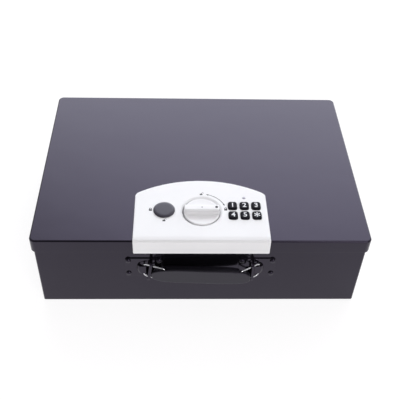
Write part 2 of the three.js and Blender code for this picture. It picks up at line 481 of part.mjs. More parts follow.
add("handle_ring_right", ringGeometry(RINGS.R), M.chrome());
{
  const half = [[0, 10.4], [14, 10.6], [28, 10.6], [36, 10.2], [44, 9.2], [50, 7.8], [53.4, 6.2], [55.2, 4.3], [55.8, 2.0]];
  const right = half.map(([x, h]) => V2(x, h)), outline = [];
  for (const p of right.slice().reverse()) outline.push(V2(p.x, -p.y));
  outline.reverse();
  const upper = right.slice().reverse();
  const pts = [...outline.map((p) => V2(p.x, p.y)), ...upper];
  const left = [...right.slice(1).map((p) => V2(-p.x, p.y)), ...right.slice(1).reverse().map((p) => V2(-p.x, -p.y))];
  const all = [...pts, ...left];
  const moulding = (outline, thick, back) => {
    const g = new THREE.ExtrudeGeometry(new THREE.Shape(outline), { depth: thick - 2 * 1.6, bevelEnabled: true, bevelThickness: 1.6, bevelSize: 1.3, bevelOffset: -1.3, bevelSegments: 3, steps: 1 });
    g.rotateX(Math.PI / 2);
    g.translate(0, back - 1.6, 0);
    g.rotateY(GRIP_DROP * RAD);
    g.rotateZ(-GRIP_TURN * RAD);
    g.translate(0, FRONT - GRIP_AT, 60.5);
    return solid(g);
  };
  // the grip's body, and the swell on its back for the fingers
  const swell = [[-43.5, -7.4], [-41, -8.7], [-36, -9.6], [-28, -10.1], [28, -10.1], [36, -9.6], [41, -8.7], [43.5, -7.4], [43.5, 7.4], [41, 8.7], [36, 9.6], [28, 10.1], [-28, 10.1], [-36, 9.6], [-41, 8.7], [-43.5, 7.4]];
  let grip = union(moulding(all, GRIP_D, GRIP_D / 2), moulding(swell.map(([x, y]) => V2(x, y)), 6.5, GRIP_D / 2 + GRIP_SWELL));
  for (const k of ["L", "R"]) {
    const { s, xIn, dIn, z, h } = RINGS[k];
    const sp = (a, b) => [Math.min(s * a, s * b), Math.max(s * a, s * b)];
    grip = cut(grip,
      box(...sp(xIn - 1.7, xIn + 1.7), FRONT - dIn - 1.5, FRONT - dIn + 1.5, 40, 80),
      // room for the ring's upper bar over the grip's end
      box(...sp(xIn - 1.7, 60), FRONT - dIn - 1.5, FRONT, z + h - 1.35, 90),
      box(...sp(xIn - 1.7, 60), FRONT - dIn - 1.5, FRONT, 30, z - h + 1.35),
      box(...sp(54.6, 60), FRONT - dIn + 0.2, FRONT, 40, 80));
  }
  add("handle_grip", grip, M.plastic());
}

export default safe;
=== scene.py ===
import json
import math

import bmesh
import bpy
from mathutils import Matrix, Vector
from mathutils.geometry import delaunay_2d_cdt


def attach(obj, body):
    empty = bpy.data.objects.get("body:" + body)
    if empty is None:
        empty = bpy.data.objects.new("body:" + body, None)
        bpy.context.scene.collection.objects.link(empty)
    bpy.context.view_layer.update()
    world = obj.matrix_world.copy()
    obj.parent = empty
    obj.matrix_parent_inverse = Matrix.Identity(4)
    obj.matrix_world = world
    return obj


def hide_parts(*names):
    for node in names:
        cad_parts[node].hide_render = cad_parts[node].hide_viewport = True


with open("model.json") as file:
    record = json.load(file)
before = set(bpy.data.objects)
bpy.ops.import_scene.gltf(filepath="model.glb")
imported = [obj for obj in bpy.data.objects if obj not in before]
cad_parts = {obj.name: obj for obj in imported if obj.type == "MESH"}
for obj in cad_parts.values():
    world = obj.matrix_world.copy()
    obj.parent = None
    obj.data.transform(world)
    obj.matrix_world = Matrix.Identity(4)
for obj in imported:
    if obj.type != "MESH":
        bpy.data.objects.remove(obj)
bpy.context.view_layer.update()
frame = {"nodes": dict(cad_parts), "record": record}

N = frame["nodes"]

# ------------------------------------------------------------------ sizes, in millimetres, as in the CAD
# x and z are the row frame's; y is counted from the middle of the lid and moved by SH into the row frame
SH = 5.541
MM = 0.001
W, D, H = 380.0, 269.0, 106.0
T, RIM, LID_R, BODY_R, BEND = 1.2, 18.0, 6.8, 2.4, 2.0
BODY_W, BODY_D, BODY_TOP = W - 6.4, D - 4.6, 104.5
FRONT = -BODY_D / 2
Z_RIM = H - RIM
PANEL_HW, PANEL_TOP, PANEL_FRONT = 76.25, 109.5, -136.9
KNOB = (0.7, -90.5)
LOCK = (-42.2, -89.4)
KEY_X, KEY_Y = (36.4, 50.0, 63.6), (-82.4, -97.8)
KEY_W, KEY_D, KEY_TOP = 10.0, 11.5, 111.8
LED = (50.5, -68.7)
RECESS_R, WELL_R = 24.1, 21.8
PLATE_Z, CUP_Z, RIVET_Z, RIVET_DX, RIVET_DZ = 60.85, 61.4, 62.1, 17.4, 10.7
# each bracket: x of its middle and of its cup, and the keeper strap's sides, half height, middle and depth
BRACKETS = {-1: (65.2, 62.0, 56.65, 59.95, 13.9, 60.8, 9.2), 1: (64.2, 61.0, 57.7, 60.3, 13.35, 61.4, 10.7)}
# each ring: x, distance from the wall and height of its inner bar, and its half height
RINGS = {-1: (40.9, 11.2, 59.3, 9.95), 1: (44.7, 15.5, 60.3, 9.9)}
HINGE_X, HINGE_Y, HINGE_Z = 115.0, 137.4, 86.0


def rad(a):
    return math.radians(a)


# ------------------------------------------------------------------ mesh helpers
def piece(name, verts, faces, body, mat, slot=None, stands_for=(), sharp=None, origin=True, weighted=False):
    """A mesh from points in millimetres."""
    me = bpy.data.meshes.new(name)
    me.from_pydata([((x) * MM, (y + SH) * MM, z * MM) for x, y, z in verts], [], faces)
    me.validate()
    ob = bpy.data.objects.new(name, me)
    bpy.context.scene.collection.objects.link(ob)
    bm = bmesh.new()
    bm.from_mesh(me)
    bmesh.ops.remove_doubles(bm, verts=bm.verts, dist=1e-7)
    bmesh.ops.recalc_face_normals(bm, faces=bm.faces)
    bm.to_mesh(me)
    bm.free()
    if body:
        finish_piece(ob, body, mat, stands_for, sharp, weighted)
    return ob


def finish_piece(ob, body, mat, stands_for=(), sharp=None, weighted=False):
    me = ob.data
    for p in me.polygons:
        p.use_smooth = True
    if sharp:
        me.set_sharp_from_angle(angle=rad(sharp))
    if weighted:
        m = ob.modifiers.new("normals", "WEIGHTED_NORMAL")
        m.mode, m.weight, m.keep_sharp = "FACE_AREA", 100, True
        bake(ob)
    me = ob.data
    me.materials.clear()
    for one in mat if isinstance(mat, (list, tuple)) else [mat]:
        me.materials.append(one)
    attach(ob, body)
    if stands_for:
        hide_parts(*stands_for)
    return ob


def bake(ob):
    """Puts the modifiers into the mesh."""
    dg = bpy.context.evaluated_depsgraph_get()
    dg.update()
    me = bpy.data.meshes.new_from_object(ob.evaluated_get(dg), preserve_all_data_layers=True, depsgraph=dg)
    ob.modifiers.clear()
    old = ob.data
    ob.data = me
    me.name = old.name
    bpy.data.meshes.remove(old)
    return ob


def boolean(a, b, how="DIFFERENCE"):
    m = a.modifiers.new("cut", "BOOLEAN")
    m.operation, m.object, m.solver = how, b, "EXACT"
    bake(a)
    gone = b.data
    bpy.data.objects.remove(b)
    bpy.data.meshes.remove(gone)
    return a


def rr(hx, hy, r, n=10, cx=0.0, cy=0.0):
    """Rounded rectangle, counterclockwise."""
    r = max(r, 0.02)
    out = []
    for sx, sy, a0 in ((1, 1, 0), (-1, 1, 90), (-1, -1, 180), (1, -1, 270)):
        for i in range(n + 1):
            a = rad(a0 + 90 * i / n)
            out.append((cx + sx * (hx - r) + r * math.cos(a), cy + sy * (hy - r) + r * math.sin(a)))
    return out


def circle(r, n=64, cx=0.0, cy=0.0):
    return [(cx + r * math.cos(2 * math.pi * i / n), cy + r * math.sin(2 * math.pi * i / n)) for i in range(n)]


def offset(pts, e):
    """Moves a counterclockwise closed outline inwards by e."""
    n, out = len(pts), []
    for i in range(n):
        ax, ay = pts[i - 1]
        bx, by = pts[i]
        cx, cy = pts[(i + 1) % n]
        u = Vector((bx - ax, by - ay))
        v = Vector((cx - bx, cy - by))
        u = u.normalized() if u.length > 1e-9 else v.normalized()
        v = v.normalized() if v.length > 1e-9 else u
        n1, n2 = Vector((-u.y, u.x)), Vector((-v.y, v.x))
        m = n1 + n2
        m = m / max(m.length_squared / 2, 0.3) if m.length > 1e-6 else n1
        out.append((bx + m.x * e, by + m.y * e))
    return out


def loft(rings, cap0=True, cap1=True, cyclic=False):
    """Quads between rings of equal length, which are lists of 3-D points."""
    n = len(rings[0])
    verts = [p for r in rings for p in r]
    faces = []
    last = len(rings) if cyclic else len(rings) - 1
    for j in range(last):
        a, b = j * n, ((j + 1) % len(rings)) * n
        for i in range(n):
            k = (i + 1) % n
            faces.append((a + i, a + k, b + k, b + i))
    if not cyclic:
        if cap0:
            faces.append(tuple(reversed(range(n))))
        if cap1:
            faces.append(tuple(range((len(rings) - 1) * n, len(rings) * n)))
    return verts, faces


def flat(ring, z):
    return [(x, y, z) for x, y in ring]


def quarter(r, n):
    """(inset, drop) along a quarter round edge, from the upright side to the flat top."""
    return [(r * (1 - math.cos(rad(90 * i / n))), r * (1 - math.sin(rad(90 * i / n)))) for i in range(n + 1)]


def slab(pts, z0, z1, b=0.0, segs=5, b0=None):
    """Closed slab over an outline with round rims: b at the top, b0 at the bottom."""
    b0 = b if b0 is None else b0
    rings = []
    if b0 > 0:
        for e, d in reversed(quarter(b0, segs)):
            rings.append(flat(offset(pts, e), z0 + d))
    else:
        rings.append(flat(pts, z0))
    if b > 0:
        for e, d in quarter(b, segs):
            rings.append(flat(offset(pts, e), z1 - d))
    else:
        rings.append(flat(pts, z1))
    return loft(rings)


def revolve(profile, n=64, cx=0.0, cy=0.0):
    """(r, z) from one end to the other; r of 0 is a point on the axis. The ends are closed."""
    verts, faces, rows = [], [], []
    for r, z in profile:
        if r < 1e-6:
            rows.append([len(verts)])
            verts.append((cx, cy, z))
        else:
            rows.append(list(range(len(verts), len(verts) + n)))
            verts += [(cx + r * math.cos(2 * math.pi * i / n), cy + r * math.sin(2 * math.pi * i / n), z) for i in range(n)]
    for a, b in zip(rows, rows[1:]):
        for i in range(n):
            k = (i + 1) % n
            if len(a) == 1 and len(b) == 1:
                continue
            if len(a) == 1:
                faces.append((a[0], b[k], b[i]))
            elif len(b) == 1:
                faces.append((a[i], a[k], b[0]))
            else:
                faces.append((a[i], a[k], b[k], b[i]))
    for row, rev in ((rows[0], True), (rows[-1], False)):
        if len(row) > 1:
            faces.append(tuple(reversed(row)) if rev else tuple(row))
    return verts, faces


def smooth_profile(pts, r, n=4):
    """Rounds the inner corners of an open polyline of (a, b) points. r is one number, or one per inner corner."""
    out = [pts[0]]
    for i in range(1, len(pts) - 1):
        p0, p1, p2 = Vector(pts[i - 1]), Vector(pts[i]), Vector(pts[i + 1])
        u, v = (p0 - p1), (p2 - p1)
        rr_ = r[i - 1] if isinstance(r, (list, tuple)) else r
        d = min(rr_, u.length * 0.49, v.length * 0.49)
        if d < 1e-6:
            out.append(tuple(p1))
            continue
        a, b = p1 + u.normalized() * d, p1 + v.normalized() * d
        for k in range(n + 1):
            t = k / n
            q = a * (1 - t) ** 2 + p1 * 2 * t * (1 - t) + b * t * t
            out.append(tuple(q))
    out.append(pts[-1])
    return out


def merged(*parts):
    verts, faces = [], []
    for v, f in parts:
        o = len(verts)
        verts += list(v)
        faces += [tuple(i + o for i in face) for face in f]
    return verts, faces


def turned(part, how):
    return [how(*p) for p in part[0]], part[1]


def lying_x(part, y, z):
    """The part's z axis becomes x."""
    return turned(part, lambda a, b, c: (c, y + a, z + b))


def facing_front(part):
    """Outline (x, y) becomes (x, z), and z becomes the depth in front of the body's front wall."""
    return turned(part, lambda a, b, c: (a, FRONT - c, b))


# ------------------------------------------------------------------ materials
def new_mat(name):
    m = bpy.data.materials.new(name)
    m.use_nodes = True
    nt = m.node_tree
    nt.nodes.clear()
    out = nt.nodes.new("ShaderNodeOutputMaterial")
    bsdf = nt.nodes.new("ShaderNodeBsdfPrincipled")
    nt.links.new(bsdf.outputs["BSDF"], out.inputs["Surface"])
    return m, nt, bsdf


def coords(nt, scale=(1, 1, 1)):
    tc = nt.nodes.new("ShaderNodeTexCoord")
    mp = nt.nodes.new("ShaderNodeMapping")
    mp.inputs["Scale"].default_value = scale
    nt.links.new(tc.outputs["Object"], mp.inputs["Vector"])
    return mp.outputs["Vector"]


def noise(nt, vec, scale, detail=2.0, rough=0.5, dist=0.0):
    n = nt.nodes.new("ShaderNodeTexNoise")
    n.inputs["Scale"].default_value = scale
    n.inputs["Detail"].default_value = detail
    n.inputs["Roughness"].default_value = rough
    n.inputs["Distortion"].default_value = dist
    nt.links.new(vec, n.inputs["Vector"])
    return n.outputs["Fac"]


def ramp(nt, fac, a, b, lo=0.35, hi=0.65):
    r = nt.nodes.new("ShaderNodeValToRGB")
    r.color_ramp.elements[0].position, r.color_ramp.elements[1].position = lo, hi
    r.color_ramp.elements[0].color, r.color_ramp.elements[1].color = (*a, 1), (*b, 1)
    nt.links.new(fac, r.inputs["Fac"])
    return r.outputs["Color"]


def spread(nt, fac, lo, hi, a=0.3, b=0.7):
    m = nt.nodes.new("ShaderNodeMapRange")
    m.inputs["From Min"].default_value, m.inputs["From Max"].default_value = a, b
    m.inputs["To Min"].default_value, m.inputs["To Max"].default_value = lo, hi
    nt.links.new(fac, m.inputs["Value"])
    return m.outputs["Result"]


def bump(nt, bsdf, height, strength, dist, under=None):
    b = nt.nodes.new("ShaderNodeBump")
    b.inputs["Strength"].default_value = strength
    b.inputs["Distance"].default_value = dist
    nt.links.new(height, b.inputs["Height"])
    if under is not None:
        nt.links.new(under, b.inputs["Normal"])
    nt.links.new(b.outputs["Normal"], bsdf.inputs["Normal"])
    return b.outputs["Normal"]


def mix_values(nt, a, b, fac):
    m = nt.nodes.new("ShaderNodeMix")
    m.data_type = "FLOAT"
    m.inputs[0].default_value = fac
    nt.links.new(a, m.inputs[2])
    nt.links.new(b, m.inputs[3])
    return m.outputs[0]


def multiply(nt, a, b):
    m = nt.nodes.new("ShaderNodeMath")
    m.operation = "MULTIPLY"
    nt.links.new(a, m.inputs[0])
    nt.links.new(b, m.inputs[1])
    return m.outputs[0]


def tint(bsdf, colour, level=0.5):
    bsdf.inputs["Specular Tint"].default_value = (*colour, 1)
    bsdf.inputs["Specular IOR Level"].default_value = level


def paint_mat(name, dark, light, rough=(0.10, 0.17), level=0.6, peel=0.05, tinted=(0.86, 0.80, 1.0)):
    """Smooth black powder coat: fine orange peel, faint wiping marks in its gloss, a little dust."""
    m, nt, s = new_mat(name)
    v = coords(nt)
    cloud = noise(nt, v, 9.0, 3.0, 0.55, 0.4)
    wipe = noise(nt, coords(nt, (3.0, 34.0, 6.0)), 1.0, 4.0, 0.6, 1.2)
    dust = noise(nt, v, 1900.0, 1.0, 0.5)
    nt.links.new(ramp(nt, mix_values(nt, cloud, dust, 0.35), dark, light, 0.35, 0.7), s.inputs["Base Color"])
    nt.links.new(spread(nt, mix_values(nt, cloud, wipe, 0.45), rough[0], rough[1]), s.inputs["Roughness"])
    tint(s, tinted, level)
    fine = noise(nt, v, 620.0, 2.0, 0.5)
    long = noise(nt, v, 26.0, 1.0, 0.4)
    n1 = bump(nt, s, long, 0.35, 0.0004)
    bump(nt, s, fine, peel, 0.00008, under=n1)
    return m


def plastic_mat(name, dark, light, rough=(0.4, 0.5), level=0.5, grain=900.0, depth=0.08, tinted=(1, 1, 1), clouds=14.0):
    m, nt, s = new_mat(name)
    v = coords(nt)
    cloud = noise(nt, v, clouds, 3.0, 0.5)
    fine = noise(nt, v, grain, 3.0, 0.6)
    nt.links.new(ramp(nt, mix_values(nt, cloud, fine, 0.3), dark, light), s.inputs["Base Color"])
    nt.links.new(spread(nt, mix_values(nt, cloud, fine, 0.5), rough[0], rough[1]), s.inputs["Roughness"])
    tint(s, tinted, level)
    bump(nt, s, fine, depth, 0.00006)
    return m


def metal_mat(name, dark, light, rough=(0.2, 0.32), brush=(60, 60, 1200), depth=0.05, spots=None):
    m, nt, s = new_mat(name)
    v = coords(nt)
    lines = noise(nt, coords(nt, brush), 1.0, 3.0, 0.6)
    cloud = noise(nt, v, 120.0, 3.0, 0.6)
    if spots:
        vor = nt.nodes.new("ShaderNodeTexVoronoi")
        vor.inputs["Scale"].default_value = spots
        nt.links.new(v, vor.inputs["Vector"])
        cloud = mix_values(nt, cloud, vor.outputs["Distance"], 0.5)
    nt.links.new(ramp(nt, mix_values(nt, cloud, lines, 0.4), dark, light, 0.3, 0.7), s.inputs["Base Color"])
    nt.links.new(spread(nt, mix_values(nt, lines, cloud, 0.4), rough[0], rough[1]), s.inputs["Roughness"])
    s.inputs["Metallic"].default_value = 1.0
    bump(nt, s, lines, depth, 0.00005)
    return m


PAINT = paint_mat("black_powder_coat", (0.0028, 0.0025, 0.0036), (0.0046, 0.0041, 0.0058), level=0.465, tinted=(0.79, 0.68, 1.0))
PAINT_SMALL = paint_mat("black_gloss_paint", (0.0025, 0.0022, 0.0032), (0.0042, 0.0038, 0.0052), rough=(0.07, 0.12), level=0.48, peel=0.03, tinted=(0.80, 0.69, 1.0))
PANEL = plastic_mat("silver_white_plastic", (0.85, 0.845, 0.855), (0.88, 0.875, 0.885), rough=(0.17, 0.23), level=0.35, grain=1500.0, depth=0.03, tinted=(0.97, 0.96, 1.0))
PLUG = plastic_mat("dark_grey_plastic", (0.030, 0.028, 0.038), (0.040, 0.037, 0.050), rough=(0.34, 0.42), level=0.46, grain=1300.0, depth=0.10, tinted=(0.92, 0.88, 1.0))
KEYS = plastic_mat("black_key_rubber", (0.005, 0.005, 0.008), (0.009, 0.0085, 0.013), rough=(0.50, 0.60), level=0.12, grain=1800.0, depth=0.05, tinted=(0.9, 0.88, 1.0))
GRIP = plastic_mat("black_grip_plastic", (0.0035, 0.0032, 0.0045), (0.0058, 0.0052, 0.0072), rough=(0.30, 0.38), level=0.52, grain=800.0, depth=0.06, tinted=(0.85, 0.80, 1.0))
PLASTIC = plastic_mat("black_moulded_plastic", (0.012, 0.012, 0.014), (0.020, 0.020, 0.023), rough=(0.42, 0.55), grain=700.0, depth=0.14)
WHITE_INK = plastic_mat("white_key_print", (0.74, 0.74, 0.77), (0.82, 0.82, 0.85), rough=(0.45, 0.55), grain=2500.0, depth=0.02)
DARK_INK = plastic_mat("dark_panel_print", (0.018, 0.018, 0.022), (0.030, 0.030, 0.036), rough=(0.5, 0.6), grain=2500.0, depth=0.02)
GREY_DOT = plastic_mat("grey_knob_dot", (0.16, 0.16, 0.19), (0.22, 0.22, 0.26), rough=(0.5, 0.6), grain=2500.0, depth=0.02)
LENS = plastic_mat("lamp_lens", (0.46, 0.45, 0.54), (0.54, 0.53, 0.62), rough=(0.12, 0.2), grain=2500.0, depth=0.02, tinted=(1, 1, 1))
CHROME = metal_mat("bright_plated_wire", (0.66, 0.66, 0.69), (0.80, 0.80, 0.83), rough=(0.06, 0.13), brush=(400, 400, 400), depth=0.02)
ZINC = metal_mat("zinc_plate", (0.44, 0.45, 0.46), (0.62, 0.63, 0.65), rough=(0.26, 0.38), brush=(40, 900, 900), depth=0.06, spots=500.0)
STEEL = metal_mat("turned_steel", (0.36, 0.36, 0.37), (0.52, 0.52, 0.53), rough=(0.22, 0.34), brush=(900, 900, 60), depth=0.08)
BRASS = metal_mat("turned_brass", (0.46, 0.32, 0.10), (0.62, 0.45, 0.17), rough=(0.2, 0.32), brush=(900, 900, 60), depth=0.06)
COPPER = metal_mat("wound_copper", (0.42, 0.15, 0.06), (0.66, 0.28, 0.13), rough=(0.25, 0.4), brush=(2600, 40, 40), depth=0.6)
BOARD = plastic_mat("green_board", (0.010, 0.075, 0.034), (0.016, 0.11, 0.050), rough=(0.35, 0.5), grain=1200.0, depth=0.1)
WRAP = plastic_mat("cell_sleeve", (0.030, 0.045, 0.070), (0.042, 0.060, 0.090), rough=(0.22, 0.30), grain=900.0, depth=0.02)

SLOT_MAT = {"black_paint": PAINT, "rivet_black": PAINT_SMALL, "zinc_plate": ZINC, "panel_plastic": PANEL, "plug_plastic": PLUG,
            "key_rubber": KEYS, "board": BOARD, "lens": LENS, "steel": STEEL, "copper": COPPER, "brass": BRASS,
            "black_plastic": PLASTIC, "chrome_wire": CHROME, "cell_wrap": WRAP}
SLOT_OF = {s["node"]: s["material_slot"] for s in frame["record"]["subparts"]}
BODY_OF = {n: b for b, ns in frame["record"]["behaviour"]["bodies"].items() for n in ns}
for name, ob in N.items():
    for i in range(len(ob.data.materials)):
        ob.data.materials[i] = SLOT_MAT[SLOT_OF[name]]

# ------------------------------------------------------------------ pieces
def raw(part, name="tool"):
    return piece(name, part[0], part[1], None, None)


def stand(part, name, node, mat=None, sharp=35, weighted=True):
    """One finer piece in the place of one CAD node."""
    ob = part if isinstance(part, bpy.types.Object) else raw(part, name)
    ob.name = name
    return finish_piece(ob, BODY_OF[node], mat or SLOT_MAT[SLOT_OF[node]], (node,), sharp, weighted)


def block(x0, x1, y0, y1, z0, z1):
    v = [(x, y, z) for z in (z0, z1) for x, y in ((x0, y0), (x1, y0), (x1, y1), (x0, y1))]
    return v, [(3, 2, 1, 0), (4, 5, 6, 7), (0, 1, 5, 4), (1, 2, 6, 5), (2, 3, 7, 6), (3, 0, 4, 7)]


def soften(ob, width=0.15, segs=2, angle=40):
    m = ob.modifiers.new("edges", "BEVEL")
    m.width, m.segments, m.limit_method, m.angle_limit = width * MM, segs, "ANGLE", rad(angle)
    m.use_clamp_overlap, m.loop_slide = True, False
    return bake(ob)


def refine(node, width=0.2, segs=2, angle=32, mat=None):
    """The CAD piece with its flats merged and its edges rounded."""
    src = N[node]
    bm = bmesh.new()
    bm.from_mesh(src.data)
    bm.transform(src.matrix_world)
    bmesh.ops.remove_doubles(bm, verts=bm.verts, dist=2e-6)
    bmesh.ops.dissolve_limit(bm, angle_limit=rad(0.6), verts=bm.verts, edges=bm.edges)
    me = bpy.data.meshes.new("fine_" + node)
    bm.to_mesh(me)
    bm.free()
    ob = bpy.data.objects.new("fine_" + node, me)
    bpy.context.scene.collection.objects.link(ob)
    if width:
        soften(ob, width, segs, angle)
    return finish_piece(ob, BODY_OF[node], mat or SLOT_MAT[SLOT_OF[node]], (node,), 32, True)


# ---- steel lid: flat top, bent edges, rounded foot of the rim
def lid_shell():
    out = rr(W / 2, D / 2, LID_R, 14)
    inn = offset(out, T)
    rings = [flat(offset(inn, e), H - T - d) for e, d in reversed(quarter(BEND - T, 4))]
    q = 0.5
    rings += [flat(offset(out, T - q + q * math.cos(rad(a))), Z_RIM + q - q * math.sin(rad(a))) for a in (0, 30, 60, 90)]
    rings += [flat(offset(out, q - q * math.cos(rad(a))), Z_RIM + q - q * math.sin(rad(a))) for a in (90, 60, 30, 0)]
    rings += [flat(offset(out, e), H - d) for e, d in quarter(BEND, 9)]
    lid = raw(loft(rings), "lid")
    for plan in [circle(25.6, 96, *KNOB), circle(9.2, 48, *LOCK), rr(24, 21, 2, 6, 49.4, -87.3)] + [circle(2.6, 24, x, y) for x, y in ((-66, -75), (-66, -112), (66, -114.5))]:
        boolean(lid, raw(slab(plan, H - 4, H + 4)))
    return stand(lid, "lid_sheet", "lid_shell", sharp=40)


# ---- steel body: one band of sheet, cut out behind the handle brackets
def capsule(s, inset, half, x0, n=28):
    a, b = 11.2 - inset, half - inset
    cx = BRACKETS[s][1]
    x0 += cx - 61
    pts = [(cx + a * math.cos(rad(-90 + 180 * i / n)), CUP_Z + b * math.sin(rad(-90 + 180 * i / n))) for i in range(n + 1)]
    pts += [(x0, CUP_Z + b), (x0, CUP_Z - b)]
    return pts if s > 0 else [(-x, z) for x, z in reversed(pts)]


def face_slab(pts, d0, d1, b=0.0, segs=5, b0=None):
    return facing_front(slab(pts, d0, d1, b, segs, b0))


def body_shell():
    out = rr(BODY_W / 2, BODY_D / 2, BODY_R, 12)
    path = [(0, 0.45)] + [(0.45 * (1 - math.cos(rad(a))), 0.45 * (1 - math.sin(rad(a)))) for a in (30, 60, 90)]
    path += [(T - 0.25, 0), (T - 0.07, 0.07), (T, 0.25), (T, BODY_TOP - 0.3), (T - 0.09, BODY_TOP - 0.09), (T - 0.3, BODY_TOP),
             (0.3, BODY_TOP), (0.09, BODY_TOP - 0.09), (0, BODY_TOP - 0.3)]
    shell = raw(loft([flat(offset(out, e), z) for e, z in path], cyclic=True), "body")
    for s in (-1, 1):
        boolean(shell, raw(face_slab(capsule(s, -0.15, 12.7, 50.4), -T - 2, 2)))
    return stand(shell, "body_sheet", "body_shell", sharp=40)


# ---- the panel: one moulding, bent over the lid's front edge, drawn in a plane of x and the way v along its section
def panel_section():
    """Outside of the section as (y, z, ny, nz, v), from the back to the foot."""
    corners = [(-30.0, PANEL_TOP), (-130.3, PANEL_TOP), (-134.9, 109.0), (PANEL_FRONT, 107.2), (PANEL_FRONT, Z_RIM + 0.2)]
    pts = smooth_profile(corners, [0.7, 0.45, 0.5], 8)
    out, v = [], 30.0
    for i, p in enumerate(pts):
        if i:
            v += math.hypot(p[0] - pts[i - 1][0], p[1] - pts[i - 1][1])
        a, b = pts[max(i - 1, 0)], pts[min(i + 1, len(pts) - 1)]
        ty, tz = b[0] - a[0], b[1] - a[1]
        q = math.hypot(ty, tz)
        out.append((p[0], p[1], tz / q, -ty / q, v))
    return out


SECTION = panel_section()
V_FOOT = SECTION[-1][4]


def on_panel(x, v, drop=0.0):
    """Point on the panel's outside, drop mm below it."""
    for a, b in zip(SECTION, SECTION[1:]):
        if v <= b[4] or b is SECTION[-1]:
            t = (v - a[4]) / max(b[4] - a[4], 1e-9)
            y, z, ny, nz = (a[i] * (1 - t) + b[i] * t for i in range(4))
            q = math.hypot(ny, nz)
            return (x, y - ny / q * drop, z - nz / q * drop)


def under_panel(x, v):
    x, y, z = on_panel(x, v)
    return (x, max(y, -134.8), min(z, H + 0.3))


def inside(poly, x, y):
    hit, n = False, len(poly)
    for i in range(n):
        (ax, ay), (bx, by) = poly[i - 1], poly[i]
        if (ay > y) != (by > y) and x < (bx - ax) * (y - ay) / (by - ay) + ax:
            hit = not hit
    return hit


def panel_outline():
    """Counterclockwise in (x, -v): the arched back edge is on top."""
    hw, peak, side = PANEL_HW, -39.0, -61.5
    R = (hw * hw + (peak - side) ** 2) / (2 * (peak - side))
    cy = peak - R
    xa = hw - 4.2
    ya = cy + math.sqrt(R * R - xa * xa)
    right = []
    foot = -V_FOOT
    r = 1.3
    right += [(hw - r + r * math.sin(rad(a)), foot + r - r * math.cos(rad(a))) for a in (0, 18, 36, 54, 72, 90)]
    right += [(hw, -s[4]) for s in reversed(SECTION[1:-1]) if -s[4] > foot + r + 0.1]
    right += [(hw, -100.0), (hw, -80.0), (hw, -65.5)]
    for i in range(1, 9):
        t, u = i / 8, 1 - i / 8
        right.append((u * u * hw + 2 * u * t * hw + t * t * xa, u * u * -65.5 + 2 * u * t * -62.2 + t * t * ya))
    arch = []
    n = 56
    for i in range(1, n):
        x = xa - 2 * xa * i / n
        arch.append((x, cy + math.sqrt(R * R - x * x)))
    left = [(-x, y) for x, y in reversed(right)]
    return right + arch + left


def meshed(rings, holes, chains, place, lines=()):
    """Triangles between the rings and around the holes. rings and holes hold lists of outlines from the outside in
    (rings) or from the inside out (holes), each a list of (x, y); place gives the 3-D point of (ring set, ring, point)."""
    pts, edges, where = [], [], []
    index = {}
    for si, group in enumerate([rings] + holes):
        for ri, ring in enumerate(group):
            o = len(pts)
            index[(si, ri)] = o
            for k, p in enumerate(ring):
                pts.append(Vector(p))
                where.append((si, ri, k))
                edges.append((o + k, o + (k + 1) % len(ring)))
    edges += [(index[a[:2]] + a[2], index[b[:2]] + b[2]) for a, b in lines]
    res = delaunay_2d_cdt(pts, edges, [], 0, 1e-6)
    vout, fout, vorig = res[0], res[2], res[3]
    outer = rings[0]
    inner = [h[0] for h in holes]
    verts, faces = [], []
    for i, p in enumerate(vout):
        org = vorig[i]
        verts.append(place(*where[org[0]]) if org else place(-1, p.x, p.y))
    for f in fout:
        cx = sum(vout[i].x for i in f) / len(f)
        cy = sum(vout[i].y for i in f) / len(f)
        if inside(outer, cx, cy) and not any(inside(h, cx, cy) for h in inner):
            faces.append(tuple(f))
    return verts, faces


